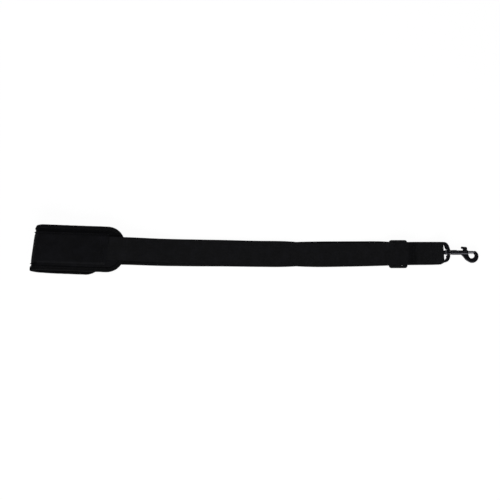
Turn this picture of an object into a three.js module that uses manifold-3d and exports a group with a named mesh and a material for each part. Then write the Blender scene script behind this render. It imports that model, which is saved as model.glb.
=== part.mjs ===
// A padded shoulder strap for a string trimmer, folded double and lying flat.
// Millimetres, +Z up. X runs along the strap, with the snap hook at +X and the folded pad at -X.
import * as THREE from "three";
import { mergeVertices } from "three/addons/utils/BufferGeometryUtils.js";
import Module from "manifold-3d";

const wasm = await Module();
wasm.setup();

const gap = 0.3; // kept between pieces that touch
const web = { width: 38.2, thick: 1.4, endCut: 3.2 }; // one corner of the end over the hook is cut off
const pad = {
  halfWidth: 36.8, // over the binding
  thick: 6,
  edgeThick: 2.8, // where the binding squeezes it
  cornerRadius: 29,
  slope: 2.5, // from the squeezed edge up to the full thickness
  topLength: 152.2, // from the middle of the fold, along the webbing
  bottomLength: 119.5,
  flare: 3.3, // the edges beside the sleeve stand out this much at the fold
  flareFrom: 26.5,
  flareTo: 31,
};
const binding = { cover: 6.5, wall: 1, halfThick: 2.7 };
const sleeve = {
  wall: 1,
  flankHalf: 25.6,
  flankWidth: 1.3,
  tunnelHalf: 22.5,
  slopeWidth: 1.1,
  topLength: 126,
  bottomLength: 95,
  hemSlant: 0.06, // how much the hem leans, as a share of the distance from the middle
  hemReach: 40, // the lean dies out this far from the hem
};
const fold = { radius: 11, x: -357.2 }; // of the webbing's middle surface
const slide = {
  x: 234.8,
  y: -7.7,
  length: 28.3,
  width: 45.4,
  thick: 3.5,
  bar: 5.5,
  slotLength: 40.2,
  chamfer: 4,
  edge: 0.6,
};
const hook = {
  y: -4.9, // of the swivel's axis
  z: 4,
  barX: 304.1, // the straight bar of the swivel loop, which the tab holds
  barRadius: 1.9,
};
const loopOuterHalf = 16.9;
const loopInnerHalf = 12.8;
const boss = { start: 11.8, end: 15.8, radius: 3.7, hole: 2.1 }; // from the loop's bar
const neckRadius = 1.8;
const barrel = { start: 322.4, end: 349.3, radius: 3.8, bore: 2.75, boreStart: 327.5 };
const bolt = { start: 338, end: 358, radius: 2.5, travel: 9.3 };
const lever = { left: 340.7, right: 347.2, halfThick: 1.2, height: 9.3, knobRadius: 1.8, knobHalf: 2.3 };
const ring = { x: 355.6, y: -6.7, outer: 10, holeX: 355.3, holeY: -5.6, hole: 5.4, landHalf: 1.4 }; // y from the axis
const arm = { halfThick: 3.6, edge: 1.2 };
const tab = { width: 24.4, barClear: 0.7 };

// Heights of the webbing's middle, counted in layers that lie on each other from the surface up.
const layer = (count) => web.thick / 2 + (count - 1) * (web.thick + gap);
const slideBottom = layer(2) + web.thick / 2 + gap;
const overSlide = slideBottom + slide.thick + gap + web.thick / 2;
const overLowerRun = overSlide + web.thick + 2 * gap; // the top run, above the slide's middle bar
const underPad = web.thick / 2 + gap + sleeve.wall;
const padMiddle = web.thick / 2 + gap + pad.thick / 2; // from the webbing's middle, inwards
const halvesApart = 0.6;
const overPad = underPad + 2 * padMiddle + pad.thick + halvesApart;
const foldTop = underPad + 2 * fold.radius;
const tabRound = hook.barRadius + tab.barClear + web.thick / 2;
const overTabEnd = hook.z + tabRound + web.thick + gap;

const slideStart = slide.x - slide.length / 2;
const slot = (slide.length - 3 * slide.bar) / 2;
const leftSlot = slideStart + slide.bar + slot / 2;
const rightSlot = slideStart + 2 * slide.bar + 1.25 * slot;
const rightBar = slideStart + 2 * slide.bar + 2 * slot;
const tailEnd = 188;

// The webbing's middle line seen from the side: corners with their rounding, from the cut end over
// the hook, along the top run, round the fold and back along the lower run to the tail.
const webRoute = [
  { x: 307.9, z: overTabEnd, r: 0 },
  { x: 301, z: overTabEnd, r: 12 },
  { x: 288.5, z: layer(3), r: 12 },
  { x: 259.5, z: layer(3), r: 5 },
  { x: 250.5, z: overLowerRun, r: 5 },
  { x: 224, z: overLowerRun, r: 8 },
  { x: 211, z: layer(3), r: 12 },
  { x: 184, z: layer(3), r: 15 },
  { x: 170, z: layer(2), r: 15 },
  { x: -122, z: layer(2), r: 160 },
  { x: -206, z: 13, r: 130 },
  { x: -246, z: overPad, r: 90 },
  { x: -296, z: overPad, r: 55 },
  { x: -329, z: foldTop, r: 45 },
  { x: fold.x, z: foldTop, r: fold.radius },
  { x: fold.x, z: underPad, r: fold.radius },
  { x: -250, z: underPad, r: 80 },
  { x: -222, z: layer(1), r: 80 },
  { x: 174, z: layer(1), r: 15 },
  { x: 184, z: layer(2), r: 15 },
  { x: leftSlot, z: layer(2), r: 1.6 },
  { x: leftSlot, z: overSlide, r: 1.6 },
  { x: rightSlot, z: overSlide, r: 1.6 },
  { x: rightSlot, z: layer(1), r: 1.6 },
  { x: tailEnd, z: layer(1), r: 0 },
];

// The hidden tab is a closed loop round the slide's right bar and the swivel loop's bar.
const tabLeft = rightBar - gap - web.thick / 2;
const tabRight = hook.barX + tabRound;
const tabRoute = [
  { x: tabLeft, z: layer(2), r: 1.3 },
  { x: 249.8, z: layer(2), r: 3 },
  { x: 253.5, z: layer(1), r: 3 },
  { x: 296, z: layer(1), r: 8 },
  { x: tabRight, z: hook.z - tabRound, r: tabRound },
  { x: tabRight, z: hook.z + tabRound, r: tabRound },
  { x: 301.5, z: hook.z + tabRound, r: 8 },
  { x: 290.5, z: layer(2), r: 8 },
  { x: 253.8, z: layer(2), r: 1.5 },
  { x: 250.3, z: overSlide, r: 1.5 },
  { x: tabLeft, z: overSlide, r: 1.3 },
];

// Along the strap: sideways place of each run's middle, the lean of a line across the strap, and the
// share of its width that the webbing keeps where stitching draws it in.
const lanes = [
  { x: -359, padTop: 4.2, padBottom: 0.4, webTop: 5, webBottom: 0.8, lean: 0.175, webShare: 1 },
  { x: -325, padTop: 3, padBottom: -1.9, webTop: 4.3, webBottom: -2, lean: 0.15, webShare: 1 },
  { x: -290, padTop: 1.7, padBottom: -3.4, webTop: 3.6, webBottom: -3.8, lean: 0.11, webShare: 1 },
  { x: -250, padTop: 0.2, padBottom: -4.8, webTop: 2.4, webBottom: -5, lean: 0.09, webShare: 1 },
  { x: -205, padTop: -1.2, padBottom: -5.5, webTop: 0.4, webBottom: -5.6, lean: 0.08, webShare: 1 },
  { x: -153, padTop: -1.2, padBottom: -5.5, webTop: -2, webBottom: -7, lean: 0.03, webShare: 1 },
  { x: -104, padTop: -1.2, padBottom: -5.5, webTop: -3.5, webBottom: -7.6, lean: 0.02, webShare: 1 },
  { x: -55, padTop: -1.2, padBottom: -5.5, webTop: -4.4, webBottom: -8, lean: 0.02, webShare: 1 },
  { x: 10, padTop: -1.2, padBottom: -5.5, webTop: -5.8, webBottom: -8.4, lean: 0.01, webShare: 1 },
  { x: 75, padTop: -1.2, padBottom: -5.5, webTop: -7.7, webBottom: -7.2, lean: 0, webShare: 1 },
  { x: 125, padTop: -1.2, padBottom: -5.5, webTop: -9, webBottom: -6.4, lean: 0, webShare: 1 },
  { x: 205, padTop: -1.2, padBottom: -5.5, webTop: -7.8, webBottom: -7.2, lean: 0, webShare: 1 },
  { x: 255, padTop: -1.2, padBottom: -5.5, webTop: -6.7, webBottom: -7.2, lean: 0, webShare: 0.98 },
  { x: 310, padTop: -1.2, padBottom: -5.5, webTop: -6.1, webBottom: -7.2, lean: 0, webShare: 0.955 },
];

const clamp = THREE.MathUtils.clamp;

// Smooth reading of one column of a table at x, with the slopes of a Catmull-Rom spline.
function read(table, x, column) {
  const last = table.length - 1;
  if (x <= table[0].x) return table[0][column];
  if (x >= table[last].x) return table[last][column];
  const i = table.findIndex((row) => row.x > x) - 1;
  const slopeAt = (j) => {
    const before = table[Math.max(j - 1, 0)];
    const after = table[Math.min(j + 1, last)];
    return (after[column] - before[column]) / (after.x - before.x);
  };
  const span = table[i + 1].x - table[i].x;
  const t = (x - table[i].x) / span;
  const start = (1 + 2 * t) * (1 - t) ** 2;
  const startSlope = t * (1 - t) ** 2 * span;
  const end = t * t * (3 - 2 * t);
  const endSlope = t * t * (t - 1) * span;
  return (
    start * table[i][column] +
    startSlope * slopeAt(i) +
    end * table[i + 1][column] +
    endSlope * slopeAt(i + 1)
  );
}

// A line through the corners of a route, each corner rounded to its radius.
function roundedLine(route, closed = false) {
  const longest = 14;
  const arcStep = THREE.MathUtils.degToRad(13);
  const corners = route.map(({ x, z }) => new THREE.Vector2(x, z));
  const count = corners.length;
  const line = [];
  const push = (p) => {
    if (!line.length || p.distanceTo(line[line.length - 1]) > 0.05) line.push(p);
  };
  corners.forEach((corner, i) => {
    if (!closed && (i === 0 || i === count - 1)) {
      push(corner);
      return;
    }
    const arriving = corner.clone().sub(corners[(i + count - 1) % count]).normalize();
    const leaving = corners[(i + 1) % count].clone().sub(corner).normalize();
    const turn = Math.acos(clamp(arriving.dot(leaving), -1, 1));
    const side = Math.sign(arriving.cross(leaving)) || 1;
    const radius = route[i].r;
    const from = corner.clone().addScaledVector(arriving, -radius * Math.tan(turn / 2));
    const centre = from.clone().add(new THREE.Vector2(-arriving.y, arriving.x).multiplyScalar(side * radius));
    const steps = Math.max(2, Math.ceil(turn / arcStep), Math.ceil((radius * turn) / 8));
    for (let k = 0; k <= steps; k++) push(from.clone().rotateAround(centre, (side * turn * k) / steps));
  });
  const fine = [];
  const spans = closed ? line.length : line.length - 1;
  for (let i = 0; i < spans; i++) {
    const a = line[i];
    const b = line[(i + 1) % line.length];
    const parts = Math.ceil(a.distanceTo(b) / longest);
    for (let k = 0; k < parts; k++) fine.push(a.clone().lerp(b, k / parts));
  }
  if (!closed) fine.push(line[line.length - 1]);
  return fine;
}

// The same line with, at each point, the way outwards (left of the direction of travel turned right)
// and the length so far.
function withNormals(line, closed = false) {
  let length = 0;
  return line.map((p, i) => {
    const last = line.length - 1;
    const before = line[i > 0 ? i - 1 : closed ? last : 0];
    const after = line[i < last ? i + 1 : closed ? 0 : last];
    const arriving = p.clone().sub(before).normalize();
    const leaving = after.clone().sub(p).normalize();
    const along = arriving.add(leaving).normalize();
    if (i > 0) length += p.distanceTo(before);
    return { x: p.x, z: p.y, nx: along.y, nz: -along.x, s: length };
  });
}

const webLine = withNormals(roundedLine(webRoute));
const apexLength = (() => {
  const farthest = Math.min(...webLine.map((p) => p.x));
  const flat = webLine.filter((p) => p.x < farthest + 0.01);
  return (flat[0].s + flat[flat.length - 1].s) / 2;
})();

// The webbing's middle line at any length from the cut end.
function webAt(s) {
  const beyond = webLine.findIndex((p) => p.s > s);
  const next = beyond < 0 ? webLine.length - 1 : Math.max(beyond, 1);
  const a = webLine[next - 1];
  const b = webLine[next];
  const t = clamp((s - a.s) / (b.s - a.s), 0, 1);
  const mix = (key) => THREE.MathUtils.lerp(a[key], b[key], t);
  return { x: mix("x"), z: mix("z"), nx: mix("nx"), nz: mix("nz"), s };
}

// The pad's edges beside the sleeve aren't held down, and stand out at the fold.
function flareAt(s, fromMiddle) {
  const halfArc = (Math.PI / 2) * fold.radius;
  const nearFold = 1 - THREE.MathUtils.smoothstep(Math.abs(s - apexLength), 0, 1.2 * halfArc);
  return pad.flare * nearFold * THREE.MathUtils.smoothstep(fromMiddle, pad.flareFrom, pad.flareTo);
}

// A point of the strap: `across` from the middle of its lane, `out` from the webbing's middle surface.
function place(station, across, out, lane) {
  const halfArc = (Math.PI / 2) * fold.radius;
  const t = THREE.MathUtils.smoothstep(station.s, apexLength - halfArc, apexLength + halfArc);
  const middle = THREE.MathUtils.lerp(
    read(lanes, station.x, lane + "Top"),
    read(lanes, station.x, lane + "Bottom"),
    t,
  );
  const wide = lane === "web" ? across * read(lanes, station.x, "webShare") : across;
  const lifted = lane === "pad" ? out + flareAt(station.s, Math.abs(across)) : out;
  return new THREE.Vector3(
    station.x + station.nx * lifted + wide * read(lanes, station.x, "lean"),
    middle + wide,
    station.z + station.nz * lifted,
  );
}

// The webbing's own stations between two lengths, with both ends and any extra lengths added.
function stationsBetween(from, to, extra = []) {
  const own = webLine.filter((p) => p.s > from + 0.4 && p.s < to - 0.4).map((p) => p.s);
  const all = [from, ...own, ...extra, to].sort((a, b) => a - b);
  return all.filter((s, i) => i === 0 || s - all[i - 1] > 0.05).map(webAt);
}

// A closed body through rings of matching corners. `capShape` is the section seen flat, and closes the ends.
function loft(rings, capShape) {
  const corners = rings[0].length;
  const faces = [];
  const spans = capShape ? rings.length - 1 : rings.length;
  for (let i = 0; i < spans; i++) {
    const a = i * corners;
    const b = ((i + 1) % rings.length) * corners;
    for (let j = 0; j < corners; j++) {
      const k = (j + 1) % corners;
      faces.push([a + j, b + j, b + k], [a + j, b + k, a + k]);
    }
  }
  if (capShape) {
    const outline = capShape.map(([across, out]) => new THREE.Vector2(across, out));
    const end = (rings.length - 1) * corners;
    const turned = THREE.ShapeUtils.isClockWise(outline) ? 1 : 0;
    for (const [a, b, c] of THREE.ShapeUtils.triangulateShape(outline, [])) {
      const [p, q, r] = turned ? [a, c, b] : [a, b, c];
      faces.push([p, q, r], [end + r, end + q, end + p]);
    }
  }
  const points = rings.flat();
  const volume = faces.reduce((sum, [a, b, c]) => sum + points[a].dot(points[b].clone().cross(points[c])), 0);
  const geometry = new THREE.BufferGeometry();
  geometry.setAttribute(
    "position",
    new THREE.Float32BufferAttribute(points.flatMap((p) => [p.x, p.y, p.z]), 3),
  );
  geometry.setIndex(faces.flatMap(([a, b, c]) => (volume > 0 ? [a, b, c] : [c, b, a])));
  return geometry;
}

// three.js geometry to a manifold-3d solid and back.
function solidFrom(geometry) {
  const bare = new THREE.BufferGeometry().setAttribute("position", geometry.getAttribute("position"));
  if (geometry.index) bare.setIndex(geometry.index);
  const merged = mergeVertices(bare, 1e-3);
  return new wasm.Manifold(
    new wasm.Mesh({
      numProp: 3,
      vertProperties: merged.attributes.position.array,
      triVerts: new Uint32Array(merged.index.array),
    }),
  );
}

function geometryFrom(solid) {
  const { numProp, vertProperties, triVerts } = solid.getMesh();
  const positions = new Float32Array((vertProperties.length / numProp) * 3);
  for (let i = 0; i < positions.length / 3; i++) {
    positions.set(vertProperties.subarray(i * numProp, i * numProp + 3), i * 3);
  }
  const geometry = new THREE.BufferGeometry();
  geometry.setAttribute("position", new THREE.BufferAttribute(positions, 3));
  return geometry.setIndex(new THREE.BufferAttribute(triVerts, 1));
}

// A shape in the XY plane as a slab with rounded edges, its middle at height 0.
function slab(shape, thick, edge, edgeSteps = 1, curveSegments = 6) {
  const geometry = new THREE.ExtrudeGeometry(shape, {
    depth: thick - 2 * edge,
    bevelThickness: edge,
    bevelSize: edge,
    bevelOffset: -edge,
    bevelSegments: edgeSteps,
    curveSegments,
  });
  return geometry.translate(0, 0, edge - thick / 2);
}

// A body turned about the X axis from a profile of [x, radius] points.
function turned(profile, segments = 24) {
  const points = profile.map(([x, r]) => new THREE.Vector2(r, x));
  return new THREE.LatheGeometry(points, segments).rotateZ(-Math.PI / 2);
}

function webSection(halfWidth) {
  const half = web.thick / 2;
  return [
    [-halfWidth, -half],
    [halfWidth, -half],
    [halfWidth, half],
    [-halfWidth, half],
  ];
}

function makeWebbing() {
  const halfWidth = web.width / 2;
  const section = webSection(halfWidth);
  const { s: length } = webLine[webLine.length - 1];
  const rings = stationsBetween(0, length, [web.endCut]).map((station) => {
    const cornerAt = Math.max(web.endCut - station.s, 0) - halfWidth;
    return section.map(([across, out]) => place(station, Math.max(across, cornerAt), out, "web"));
  });
  return loft(rings, section);
}

function makeTab() {
  const section = webSection(tab.width / 2);
  const rings = withNormals(roundedLine(tabRoute, true), true).map((station) =>
    section.map(
      ([across, out]) =>
        new THREE.Vector3(station.x + station.nx * out, hook.y + across, station.z + station.nz * out),
    ),
  );
  return loft(rings, null);
}

const padStart = apexLength - pad.topLength;
const padEnd = apexLength + pad.bottomLength;

// Half the width of the pad's outline, taken in by `inset`, at a distance from its end.
function padHalf(fromEnd, inset) {
  const { halfWidth, cornerRadius } = pad;
  if (fromEnd >= cornerRadius) return halfWidth - inset;
  const radius = cornerRadius - inset;
  const short = cornerRadius - Math.max(fromEnd, inset);
  return halfWidth - cornerRadius + Math.sqrt(Math.max(radius ** 2 - short ** 2, 0));
}

function padSection(fromEnd) {
  const edgeInset = binding.wall + gap;
  const shoulderInset = binding.cover + gap;
  const crownInset = shoulderInset + pad.slope;
  const edge = padHalf(fromEnd, edgeInset);
  const inner = 0.9;
  const shoulder = Math.min(padHalf(fromEnd, shoulderInset), edge * inner);
  const crown = Math.min(padHalf(fromEnd, crownInset), shoulder * inner);
  const rise = clamp((fromEnd - shoulderInset) / pad.slope, 0, 1);
  const thin = pad.edgeThick / 2;
  const thick = THREE.MathUtils.lerp(thin, pad.thick / 2, rise);
  const upper = [
    [edge, thin],
    [shoulder, thin],
    [crown, thick],
    [-crown, thick],
    [-shoulder, thin],
    [-edge, thin],
  ];
  return [...upper, ...upper.map(([across, out]) => [across, -out]).reverse()];
}

function makePad() {
  const inset = binding.wall + gap;
  const cover = binding.cover + gap;
  const fromEnds = [2.6, 4.4, cover, cover + pad.slope, 13, 20, pad.cornerRadius];
  const from = padStart + inset;
  const to = padEnd - inset;
  const extra = fromEnds.flatMap((d) => [padStart + d, padEnd - d]);
  const stations = stationsBetween(from, to, extra);
  const sections = stations.map(({ s }) => padSection(Math.min(s - padStart, padEnd - s)));
  const rings = stations.map((station, i) =>
    sections[i].map(([across, out]) => place(station, across, out - padMiddle, "pad")),
  );
  return loft(rings, sections[0]);
}

// The binding is a U-shaped tape, carried round the pad's outline on the flat and folded with it.
function makeBinding() {
  const { cornerRadius: radius, halfWidth } = pad;
  const { cover, wall, halfThick } = binding;
  const inner = halfThick - wall;
  const section = [
    [0, -halfThick],
    [cover, -halfThick],
    [cover, -inner],
    [wall, -inner],
    [wall, inner],
    [cover, inner],
    [cover, halfThick],
    [0, halfThick],
  ];
  const cornerSteps = 7;
  const outline = [];
  const corner = (s, across, start) => {
    for (let k = 0; k <= cornerSteps; k++) {
      const angle = start + ((Math.PI / 2) * k) / cornerSteps;
      const out = { s: Math.cos(angle), across: Math.sin(angle) };
      outline.push({ s: s + radius * out.s, across: across + radius * out.across, out });
    }
  };
  const side = (across, backwards) => {
    const between = stationsBetween(padStart + radius, padEnd - radius).slice(1, -1);
    if (backwards) between.reverse();
    for (const { s } of between) outline.push({ s, across, out: { s: 0, across: Math.sign(across) } });
  };
  const flat = halfWidth - radius;
  corner(padStart + radius, -flat, Math.PI);
  side(-halfWidth, false);
  corner(padEnd - radius, -flat, 1.5 * Math.PI);
  corner(padEnd - radius, flat, 0);
  side(halfWidth, true);
  corner(padStart + radius, flat, Math.PI / 2);
  const rings = outline.map((p) =>
    section.map(([inset, out]) =>
      place(webAt(p.s - inset * p.out.s), p.across - inset * p.out.across, out - padMiddle, "pad"),
    ),
  );
  return loft(rings, null);
}

function makeSleeve() {
  const { wall, flankHalf, flankWidth, tunnelHalf, slopeWidth, topLength, bottomLength } = sleeve;
  const low = -web.thick / 2;
  const high = web.thick / 2 + gap;
  const half = [
    [flankHalf, low],
    [flankHalf, low + wall],
    [flankHalf - flankWidth, low + wall],
    [flankHalf - flankWidth - slopeWidth, high + wall],
  ];
  const under = [
    [tunnelHalf, high],
    [tunnelHalf + slopeWidth, low],
  ];
  const mirrored = (points) => points.map(([across, out]) => [-across, out]);
  const section = [...half, ...mirrored(half).reverse(), ...mirrored(under).reverse(), ...under];
  const from = apexLength - topLength;
  const to = apexLength + bottomLength;
  const lean = (s, end) => sleeve.hemSlant * clamp(1 - Math.abs(s - end) / sleeve.hemReach, 0, 1);
  const rings = stationsBetween(from, to).map(({ s }) =>
    section.map(([across, out]) => {
      const shift = across * (lean(s, to) - lean(s, from));
      return place(webAt(s + shift), across, out, "pad");
    }),
  );
  return loft(rings, section);
}

// A rectangle with cut corners, centred on a point.
function cutRectangle(shape, x, y, width, height, cut) {
  const [w, h] = [width / 2, height / 2];
  shape.moveTo(x - w + cut, y - h);
  shape.lineTo(x + w - cut, y - h);
  shape.lineTo(x + w, y - h + cut);
  shape.lineTo(x + w, y + h - cut);
  shape.lineTo(x + w - cut, y + h);
  shape.lineTo(x - w + cut, y + h);
  shape.lineTo(x - w, y + h - cut);
  shape.lineTo(x - w, y - h + cut);
  shape.closePath();
  return shape;
}

function makeSlide() {
  const slotCut = 0.6;
  const outline = cutRectangle(new THREE.Shape(), slide.x, slide.y, slide.length, slide.width, slide.chamfer);
  for (const side of [-1, 1]) {
    const x = slide.x + (side * (slide.bar + slot)) / 2;
    outline.holes.push(cutRectangle(new THREE.Path(), x, slide.y, slot, slide.slotLength, slotCut));
  }
  return slab(outline, slide.thick, slide.edge).translate(0, 0, slideBottom + slide.thick / 2);
}

function makeLoop() {
  const { barX, y, z, barRadius } = hook;
  const corner = 1.5;
  const outline = new THREE.Shape();
  outline.moveTo(-barRadius, -loopOuterHalf + corner);
  outline.lineTo(-barRadius + corner, -loopOuterHalf);
  outline.lineTo(5.7, -loopOuterHalf);
  outline.bezierCurveTo(10.4, -loopOuterHalf + 0.1, 13.2, -13, 15.2, -6);
  outline.lineTo(boss.end - 0.3, -boss.radius - 0.4);
  outline.lineTo(boss.end - 0.3, boss.radius + 0.4);
  outline.lineTo(15.2, 6);
  outline.bezierCurveTo(13.2, 13, 10.4, loopOuterHalf - 0.1, 5.7, loopOuterHalf);
  outline.lineTo(-barRadius + corner, loopOuterHalf);
  outline.lineTo(-barRadius, loopOuterHalf - corner);
  const inside = new THREE.Path();
  inside.moveTo(barRadius, -loopInnerHalf);
  inside.lineTo(5, -loopInnerHalf);
  inside.bezierCurveTo(6.8, -loopInnerHalf, 7.2, -9.2, 8.4, -6.4);
  inside.quadraticCurveTo(9.2, -4.8, boss.start, -4.5);
  inside.lineTo(boss.start, 4.5);
  inside.quadraticCurveTo(9.2, 4.8, 8.4, 6.4);
  inside.bezierCurveTo(7.2, 9.2, 6.8, loopInnerHalf, 5, loopInnerHalf);
  inside.lineTo(barRadius, loopInnerHalf);
  inside.closePath();
  outline.holes.push(inside);
  const frame = solidFrom(slab(outline, 2 * barRadius, 1.1, 2));
  const round = solidFrom(
    turned([
      [boss.start, 0],
      [boss.start, boss.radius - 0.5],
      [boss.start + 0.5, boss.radius],
      [boss.end - 0.5, boss.radius],
      [boss.end, boss.radius - 0.5],
      [boss.end, 0],
    ]),
  );
  const hole = solidFrom(
    turned([
      [boss.start - 2, 0],
      [boss.start - 2, boss.hole],
      [boss.end + 2, boss.hole],
      [boss.end + 2, 0],
    ]),
  );
  return geometryFrom(frame.add(round).subtract(hole)).translate(barX, y, z);
}

// The hook's arm: from under the barrel, round the eye and back to the nose that the bolt meets.
// The eye has a small flat land at its far end, where a carrying ring pulls.
function armShape() {
  const { x, y, outer, holeX, holeY, hole, landHalf } = ring;
  const noseX = bolt.end + gap;
  const noseTop = 2.4;
  const outerStart = Math.PI * 1.4;
  const landX = holeX + Math.sqrt(hole ** 2 - landHalf ** 2);
  const shape = new THREE.Shape();
  shape.moveTo(337, -2.4);
  shape.lineTo(337.8, -4.2);
  shape.quadraticCurveTo(341, -7.2, 343.7, -11);
  shape.quadraticCurveTo(346.4, -14, x + outer * Math.cos(outerStart), y + outer * Math.sin(outerStart));
  shape.absarc(x, y, outer, outerStart, Math.PI * 2.15, false);
  shape.quadraticCurveTo(363, 1.6, 360.4, noseTop);
  shape.lineTo(noseX, noseTop);
  shape.lineTo(noseX, -2.9);
  shape.lineTo(landX, holeY + landHalf);
  shape.absarc(holeX, holeY, hole, -Math.asin(landHalf / hole), -Math.PI * 0.6, true);
  shape.quadraticCurveTo(351, -8.2, 349.3, -2.4);
  return shape;
}

function makeHookBody() {
  const { start, end, radius, bore, boreStart } = barrel;
  const headStart = hook.barX + tabRound + web.thick / 2 + 2 * gap;
  const headEnd = hook.barX + boss.start - gap;
  const headRadius = 3.75;
  const collarStart = hook.barX + boss.end + gap;
  const stem = solidFrom(
    turned([
      [headStart, 0],
      [headStart + 0.3, 1.6],
      [headStart + 1.3, 2.9],
      [headStart + 2.9, headRadius - 0.1],
      [headEnd - 0.8, headRadius],
      [headEnd, headRadius - 0.6],
      [headEnd, neckRadius],
      [collarStart, neckRadius],
      [collarStart, hook.z - 0.5],
      [collarStart + 0.4, hook.z],
      [start - 0.4, hook.z],
      [start, radius],
      [end - 0.4, radius],
      [end, radius - 0.4],
      [end, bore],
      [boreStart, bore],
      [boreStart, 0],
    ]),
  );
  const hollow = solidFrom(
    turned([
      [boreStart, 0],
      [boreStart, bore],
      [bolt.end, bore],
      [bolt.end, 0],
    ]),
  );
  const clear = 0.45;
  const slotFrom = lever.left - bolt.travel - clear;
  const slotTo = lever.right + clear;
  const cutter = new THREE.BoxGeometry(slotTo - slotFrom, radius + 1, 2 * (lever.halfThick + gap));
  cutter.translate((slotFrom + slotTo) / 2, (radius + 1) / 2, 0);
  const curve = solidFrom(slab(armShape(), 2 * arm.halfThick, arm.edge, 2, 8));
  const body = stem.add(curve.subtract(hollow)).subtract(solidFrom(cutter));
  return geometryFrom(body).translate(0, hook.y, hook.z);
}

function makeBolt() {
  const { start, end, radius } = bolt;
  const rod = solidFrom(
    turned([
      [start, 0],
      [start, radius - 0.4],
      [start + 0.4, radius],
      [end - 0.4, radius],
      [end, radius - 0.4],
      [end, 0],
    ]),
  );
  const { left, right, halfThick, height, knobRadius, knobHalf } = lever;
  const stemShape = new THREE.Shape();
  stemShape.moveTo(left, 1);
  stemShape.lineTo(right, 1);
  stemShape.lineTo(right, height - 2.4);
  stemShape.quadraticCurveTo(right - 0.4, height - 0.9, right - 2.2, height - 0.6);
  stemShape.lineTo(left - 1.2, height - 0.2);
  stemShape.lineTo(left - 1.2, height - 2 * knobRadius + 0.2);
  stemShape.quadraticCurveTo(left, height - 2 * knobRadius, left, barrel.radius + 0.3);
  const stem = solidFrom(slab(stemShape, 2 * halfThick, 0.25, 1, 4));
  const knobShape = new THREE.Shape().absarc(left - 1.2, height - knobRadius, knobRadius, 0, 2 * Math.PI);
  const knob = solidFrom(slab(knobShape, 2 * knobHalf, 0.5, 1, 6));
  return geometryFrom(rod.add(stem).add(knob)).translate(0, hook.y, hook.z);
}

const finishes = {
  webbing: { color: 0x141416, roughness: 0.85, metalness: 0 },
  padFabric: { color: 0x121214, roughness: 0.9, metalness: 0 },
  tape: { color: 0x0e0e10, roughness: 0.8, metalness: 0 },
  plastic: { color: 0x111112, roughness: 0.45, metalness: 0 },
  darkMetal: { color: 0x2a2a2e, roughness: 0.3, metalness: 1 },
};

function piece(name, geometry, finish) {
  const mesh = new THREE.Mesh(geometry, new THREE.MeshStandardMaterial(finishes[finish]));
  mesh.name = name;
  return mesh;
}

const softParts = new THREE.Group();
softParts.add(
  piece("main_webbing", makeWebbing(), "webbing"),
  piece("shoulder_pad", makePad(), "padFabric"),
  piece("pad_binding", makeBinding(), "tape"),
  piece("pad_sleeve", makeSleeve(), "padFabric"),
  piece("joining_tab", makeTab(), "webbing"),
);

const snapHook = new THREE.Group();
snapHook.add(
  piece("swivel_loop", makeLoop(), "darkMetal"),
  piece("hook_body", makeHookBody(), "darkMetal"),
  piece("hook_bolt", makeBolt(), "darkMetal"),
);

const strap = new THREE.Group();
strap.add(softParts, snapHook, piece("slide_adjuster", makeSlide(), "plastic"));

// The origin is under the middle of the whole strap, on the surface that it lies on.
const whole = new THREE.Box3().setFromObject(strap);
const middle = whole.getCenter(new THREE.Vector3());
strap.position.set(-middle.x, -middle.y, -whole.min.z);

export default strap;
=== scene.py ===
import cmath
import math

import bmesh
import bpy
import numpy as np
from mathutils import Matrix, Vector, noise


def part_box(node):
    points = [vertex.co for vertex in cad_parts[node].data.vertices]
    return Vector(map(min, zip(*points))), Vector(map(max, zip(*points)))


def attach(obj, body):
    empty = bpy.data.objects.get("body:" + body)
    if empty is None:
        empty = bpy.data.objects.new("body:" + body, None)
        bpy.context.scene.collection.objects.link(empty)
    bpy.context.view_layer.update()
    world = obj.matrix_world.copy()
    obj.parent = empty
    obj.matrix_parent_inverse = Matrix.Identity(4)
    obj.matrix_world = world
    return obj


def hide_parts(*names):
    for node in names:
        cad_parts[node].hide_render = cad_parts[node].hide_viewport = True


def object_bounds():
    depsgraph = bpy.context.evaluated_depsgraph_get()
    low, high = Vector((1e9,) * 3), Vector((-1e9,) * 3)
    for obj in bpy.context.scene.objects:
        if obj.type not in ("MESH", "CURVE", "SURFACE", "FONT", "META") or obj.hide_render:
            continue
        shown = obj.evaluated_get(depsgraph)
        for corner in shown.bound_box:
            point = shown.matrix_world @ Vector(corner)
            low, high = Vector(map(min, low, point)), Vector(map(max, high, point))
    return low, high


# String trimmer shoulder strap, folded double and lying flat, with the hook at +X.
# Sizes and places below are in millimetres, and meshes are turned to metres as they are made.
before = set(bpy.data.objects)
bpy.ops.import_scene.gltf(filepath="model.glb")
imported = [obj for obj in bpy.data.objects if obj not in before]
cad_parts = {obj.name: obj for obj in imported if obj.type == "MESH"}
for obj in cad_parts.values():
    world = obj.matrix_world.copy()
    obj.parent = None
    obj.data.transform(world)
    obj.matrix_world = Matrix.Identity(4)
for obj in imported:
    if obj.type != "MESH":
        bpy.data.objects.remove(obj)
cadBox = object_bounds()
mm = 0.001
print("frame loaded, box", [tuple(round(c, 4) for c in corner) for corner in cadBox])


# camera, light and floor, in metres

cameraSetup = {"height": 10.0, "seenWidth": 0.815, "x": -0.00625, "y": -0.00086, "sensor": 36.0}
studio = {
    "worldColour": "#f2f5fa", "worldStrength": 0.07,
    "keyPlace": (-0.1, -1.5, 0.75), "keySize": (2.6, 1.2), "keyPower": 16.0,
    "topPlace": (-0.3, 0.7, 1.7), "topSize": (1.2, 0.9), "topPower": 4.8,
    "floorColour": "#707070", "floorGlow": 0.95, "floorHalf": 4.0, "floorDrop": 0.0002,
}


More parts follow.
